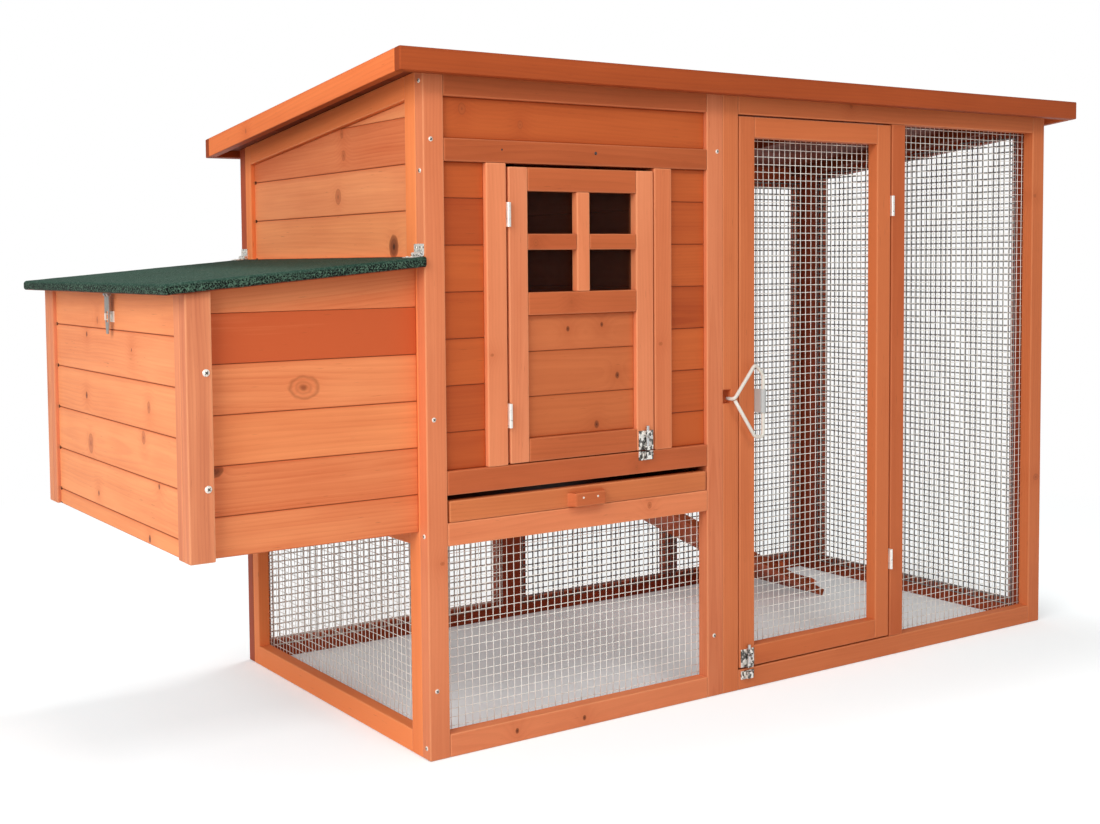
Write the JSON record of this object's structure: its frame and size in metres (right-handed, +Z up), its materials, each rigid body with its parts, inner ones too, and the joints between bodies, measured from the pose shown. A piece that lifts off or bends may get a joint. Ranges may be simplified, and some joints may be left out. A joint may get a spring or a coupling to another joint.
{
  "type": "duck house",
  "caption": "Stained wood duck house with sloping felt roof, raised cabin over a wire mesh run, side nest box under a hinged lid, pull-out tray and ramp.",
  "frame": {"origin": "middle of the overall box on the ground", "axes": "+X to the run's end along the front, +Y to the rear, +Z up; the doors face -Y"},
  "size_m": [1.843, 0.698, 1.015],
  "materials": {
    "front_wood": "satin",
    "board_wood": "satin",
    "frame_wood": "satin",
    "door_wood": "satin",
    "fascia_wood": "satin",
    "inner_wood": "matte",
    "roof_felt": "matte",
    "wire_mesh": "satin",
    "zinc": "satin",
    "steel_rod": "satin",
    "clear_pane": "gloss"
  },
  "bodies": {
    "coop": {"hinge_pins": "steel_rod", "house_bolt_keeper": "zinc", "house_door_hinge_jamb_leaves": "zinc", "house_floor": "inner_wood", "house_front_cladding": "board_wood", "house_front_frame": "front_wood", "house_front_mesh": "wire_mesh", "left_side_cladding": "board_wood", "left_side_frame": "frame_wood", "left_side_mesh": "wire_mesh", "lid_hinge_wall_leaves": "zinc", "nest_cladding": "board_wood", "nest_divider": "inner_wood", "nest_floor": "inner_wood", "nest_frame": "front_wood", "partition_cladding": "board_wood", "partition_frame": "frame_wood", "ramp_hinge_wall_leaves": "zinc", "rear_cladding": "board_wood", "rear_frame": "frame_wood", "rear_house_mesh": "wire_mesh", "rear_run_mesh": "wire_mesh", "right_side_frame": "frame_wood", "right_side_mesh": "wire_mesh", "roof_battens": "inner_wood", "roof_deck": "inner_wood", "roof_fascia": "fascia_wood", "roof_felt": "roof_felt", "run_bolt_keeper": "zinc", "run_door_hinge_post_leaves": "zinc", "run_front_frame": "front_wood", "run_front_mesh": "wire_mesh", "screws": "zinc", "strap_staple": "zinc"},
    "nest_lid": {"nest_lid_board": "inner_wood", "nest_lid_felt": "roof_felt", "lid_hinge_lid_leaves": "zinc", "strap_bracket": "zinc"},
    "strap": {"lid_strap": "zinc"},
    "house_door": {"house_door_frame": "door_wood", "house_door_boards": "board_wood", "house_door_muntins": "door_wood", "house_door_pane": "clear_pane", "house_door_hinge_door_leaves": "zinc", "house_bolt_plate": "zinc"},
    "house_bolt": {"house_bolt_rod": "steel_rod"},
    "run_door": {"run_door_frame": "door_wood", "run_door_mesh": "wire_mesh", "run_door_hinge_door_leaves": "zinc", "run_bolt_plate": "zinc", "latch_bracket": "zinc"},
    "run_bolt": {"run_bolt_rod": "steel_rod"},
    "latch": {"wire_latch": "steel_rod"},
    "tray": {"tray_front": "door_wood", "tray_base": "inner_wood", "tray_rims": "inner_wood", "tray_handle": "door_wood"},
    "ramp": {"ramp_board": "inner_wood", "ramp_cleats": "inner_wood", "ramp_hinge_ramp_leaves": "zinc"}
  },
  "joints": [
    {"name": "lid_hinge", "type": "hinge", "parent": "coop", "child": "nest_lid", "pos_m": [-0.5379, 0, 0.73013], "axis": [0, 1, 0], "range_deg": [0, 75]},
    {"name": "strap_hinge", "type": "hinge", "parent": "nest_lid", "child": "strap", "pos_m": [-0.8925, -0.013, 0.67732], "axis": [0, 1, 0], "range_deg": [0, 75]},
    {"name": "house_door_hinge", "type": "hinge", "parent": "coop", "child": "house_door", "pos_m": [-0.392, -0.3214, 0.64], "axis": [0, 0, -1], "range_deg": [0, 170]},
    {"name": "house_bolt_slide", "type": "slide", "parent": "house_door", "child": "house_bolt", "axis": [0, 0, -1], "range_m": [0, 0.011]},
    {"name": "run_door_hinge", "type": "hinge", "parent": "coop", "child": "run_door", "pos_m": [0.432, -0.3214, 0.494], "axis": [0, 0, 1], "range_deg": [0, 170]},
    {"name": "run_bolt_slide", "type": "slide", "parent": "run_door", "child": "run_bolt", "axis": [0, 0, -1], "range_m": [0, 0.011]},
    {"name": "latch_swing", "type": "hinge", "parent": "run_door", "child": "latch", "pos_m": [0.1075, -0.331, 0.474], "axis": [0, 0, 1], "range_deg": [0, 110]},
    {"name": "tray_slide", "type": "slide", "parent": "coop", "child": "tray", "axis": [0, -1, 0], "range_m": [0, 0.45]},
    {"name": "ramp_hinge", "type": "hinge", "parent": "coop", "child": "ramp", "pos_m": [0.0449, 0.174, 0.34701], "axis": [0, -1, 0], "range_deg": [0, 60]}
  ]
}
